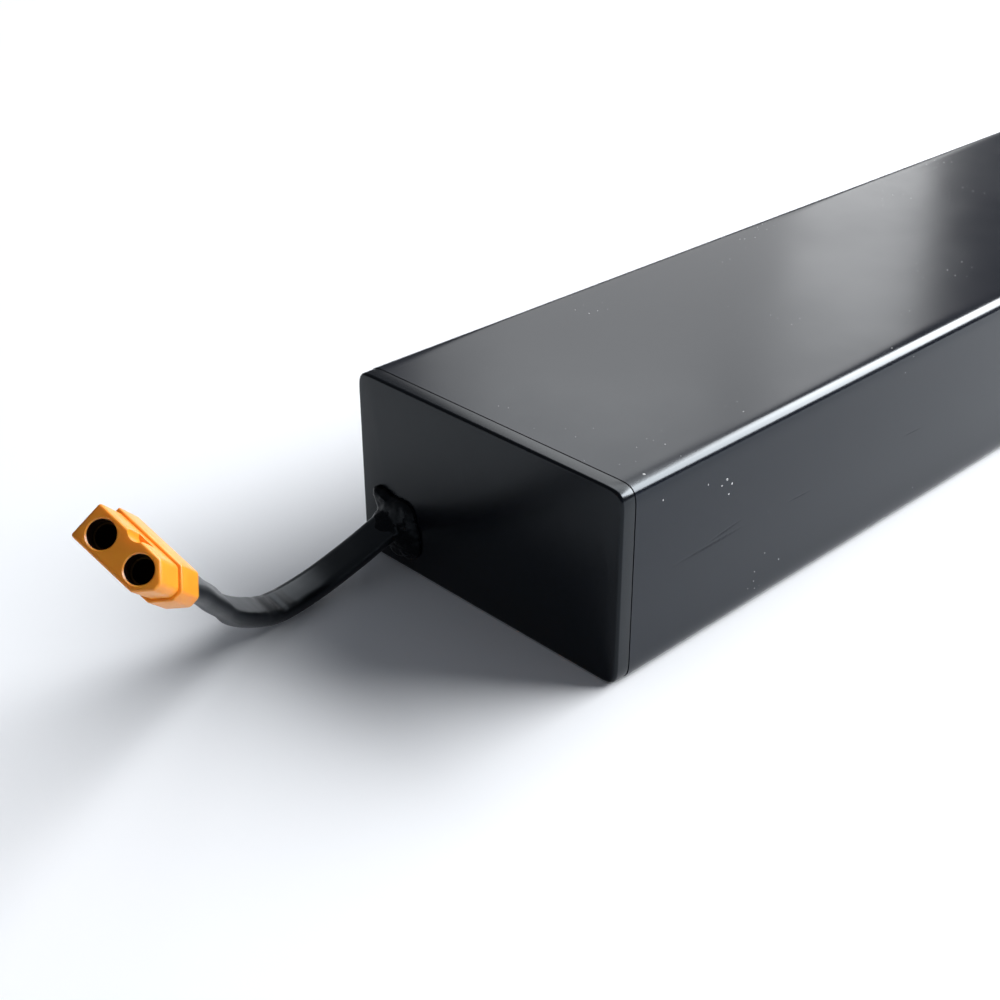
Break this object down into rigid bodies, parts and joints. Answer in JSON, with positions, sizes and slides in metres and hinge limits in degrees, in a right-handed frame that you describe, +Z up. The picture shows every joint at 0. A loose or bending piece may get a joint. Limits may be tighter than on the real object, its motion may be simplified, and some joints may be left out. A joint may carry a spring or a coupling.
{
  "type": "electric skateboard battery",
  "caption": "Black rectangular battery case with plastic end caps, round cells inside, and a short flat two-core lead with a keyed yellow socket connector.",
  "frame": {"origin": "middle of the case's underside", "axes": "+Z up; Y along the case with the lead at -Y; X across it"},
  "size_m": [0.07, 0.3484, 0.0638],
  "materials": {
    "case_aluminium": "black anodised extrusion, satin",
    "cap_plastic": "moulded black plastic, fine texture",
    "sealant_rubber": "black sealant, glossy",
    "lead_sleeve": "black shrunk sleeve, satin",
    "connector_nylon": "yellow-orange nylon, moulded",
    "gold_contact": "gold-plated brass",
    "cell_sleeve": "shrunk film over steel",
    "nickel_strip": "rolled nickel",
    "insulating_board": "fibre board",
    "flex_strip": "polyimide film over copper",
    "foam": "closed-cell foam",
    "circuit_board": "lacquered glass-fibre board",
    "chip_plastic": "moulded epoxy",
    "plate_aluminium": "milled, bare",
    "header_plastic": "natural nylon",
    "red_wire": "silicone insulation",
    "black_wire": "silicone insulation"
  },
  "bodies": {
    "root": {"case_tube": "case_aluminium", "front_cap": "cap_plastic", "rear_cap": "cap_plastic", "cable_sealant": "sealant_rubber", "output_lead": "lead_sleeve", "connector_housing": "connector_nylon", "contact_positive": "gold_contact", "contact_negative": "gold_contact", "cell_01": "cell_sleeve", "cell_02": "cell_sleeve", "cell_03": "cell_sleeve", "cell_04": "cell_sleeve", "cell_05": "cell_sleeve", "cell_06": "cell_sleeve", "cell_07": "cell_sleeve", "cell_08": "cell_sleeve", "cell_09": "cell_sleeve", "cell_10": "cell_sleeve", "cell_11": "cell_sleeve", "cell_12": "cell_sleeve", "cell_13": "cell_sleeve", "cell_14": "cell_sleeve", "cell_15": "cell_sleeve", "cell_16": "cell_sleeve", "cell_17": "cell_sleeve", "cell_18": "cell_sleeve", "cell_19": "cell_sleeve", "cell_20": "cell_sleeve", "link_01": "nickel_strip", "link_02": "nickel_strip", "link_03": "nickel_strip", "link_04": "nickel_strip", "link_05": "nickel_strip", "link_06": "nickel_strip", "link_07": "nickel_strip", "link_08": "nickel_strip", "link_09": "nickel_strip", "terminal_positive": "nickel_strip", "terminal_negative": "nickel_strip", "insulator_left": "insulating_board", "insulator_right": "insulating_board", "sense_strip_left": "flex_strip", "sense_strip_right": "flex_strip", "divider_pad": "foam", "rear_pad": "foam", "bms_pad": "foam", "bms_board": "circuit_board", "bms_mosfets": "chip_plastic", "bms_heat_plate": "plate_aluminium", "bms_chips": "chip_plastic", "balance_header": "header_plastic", "balance_plug": "header_plastic", "balance_wires": "red_wire", "lead_positive": "red_wire", "lead_negative": "black_wire", "lead_pack_negative": "black_wire"}
  },
  "joints": []
}
